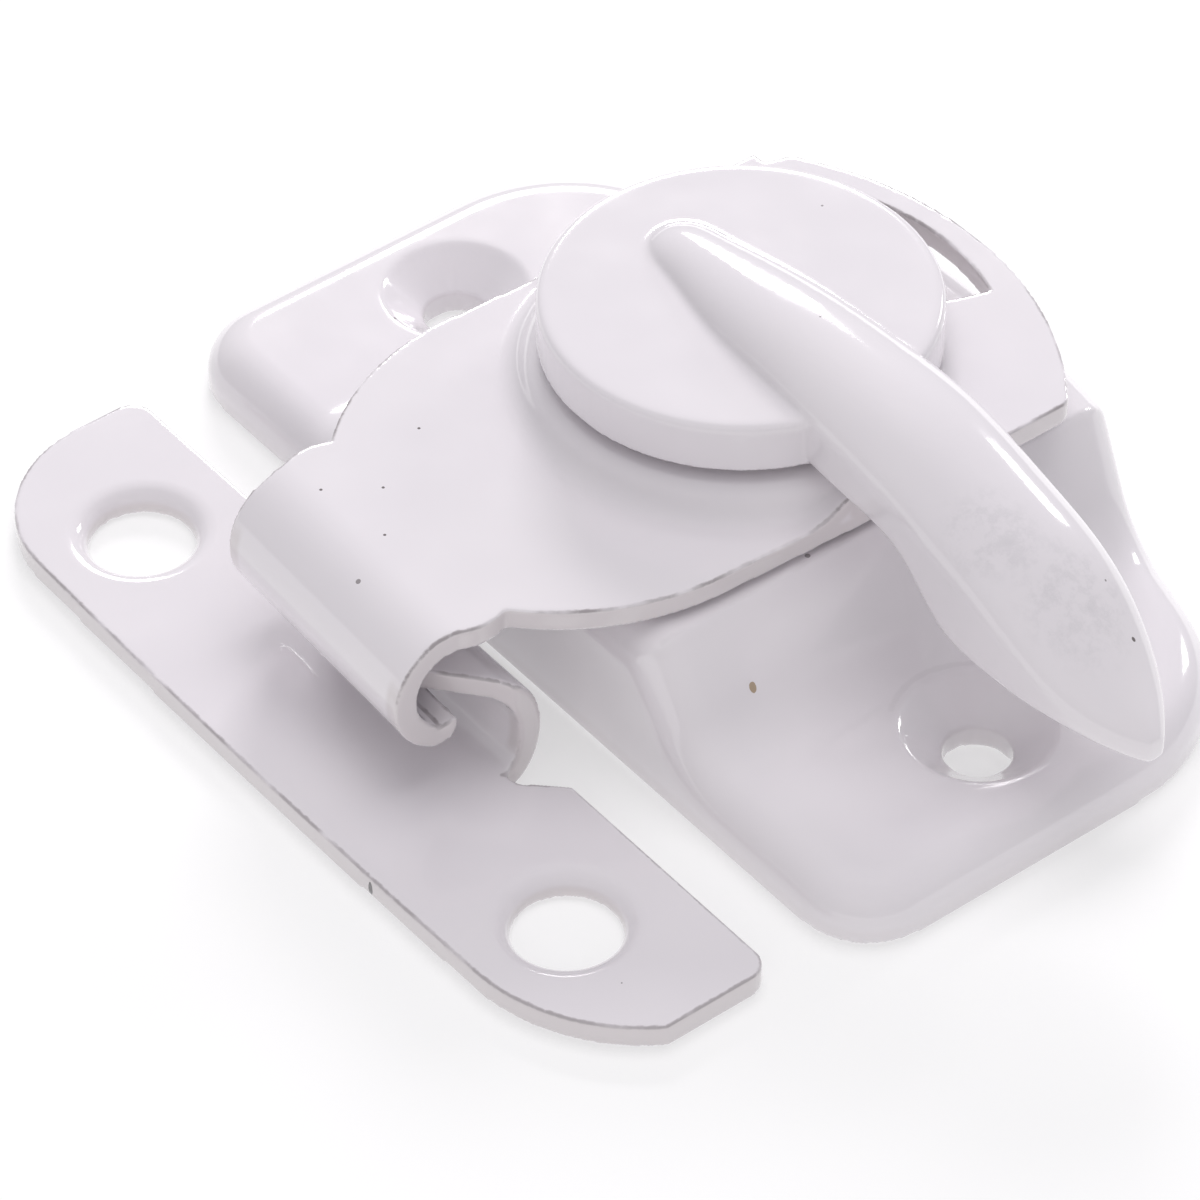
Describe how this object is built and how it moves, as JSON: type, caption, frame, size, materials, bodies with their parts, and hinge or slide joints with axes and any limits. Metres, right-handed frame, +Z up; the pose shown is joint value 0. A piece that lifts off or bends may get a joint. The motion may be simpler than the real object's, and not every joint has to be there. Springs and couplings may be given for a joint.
{
  "type": "sash lock with keeper",
  "caption": "White stamped-steel window sash lock with a turning lever, a J-shaped hook and a separate screw-on keeper, shown locked.",
  "frame": {"origin": "midway between the two screw holes of the base, on the mounting plane (the top of the meeting rail)", "axes": "X along the meeting rail and along the line of the base's two screws, the lever lying toward +X when locked; -Y from the lock toward the keeper; +Z up, out of the rail"},
  "size_m": [0.0738, 0.0575, 0.0225],
  "materials": {
    "base_paint": "gloss white paint",
    "hook_paint": "gloss white paint",
    "lever_paint": "gloss white paint",
    "keeper_paint": "gloss white paint",
    "stud_steel": "bare turned steel",
    "washer_steel": "zinc-plated steel",
    "spring_steel": "dark spring steel"
  },
  "bodies": {
    "fixed": {"base": "base_paint", "keeper": "keeper_paint", "spring_washer": "spring_steel"},
    "turning": {"hook_plate": "hook_paint", "lever": "lever_paint", "pivot_stud": "stud_steel", "backing_washer": "washer_steel"}
  },
  "joints": [
    {"name": "lever_turn", "type": "hinge", "parent": "fixed", "child": "turning", "pos_m": [0, 0.0025, 0.0113], "axis": [0, 0, 1], "range_deg": [0, 180]}
  ]
}
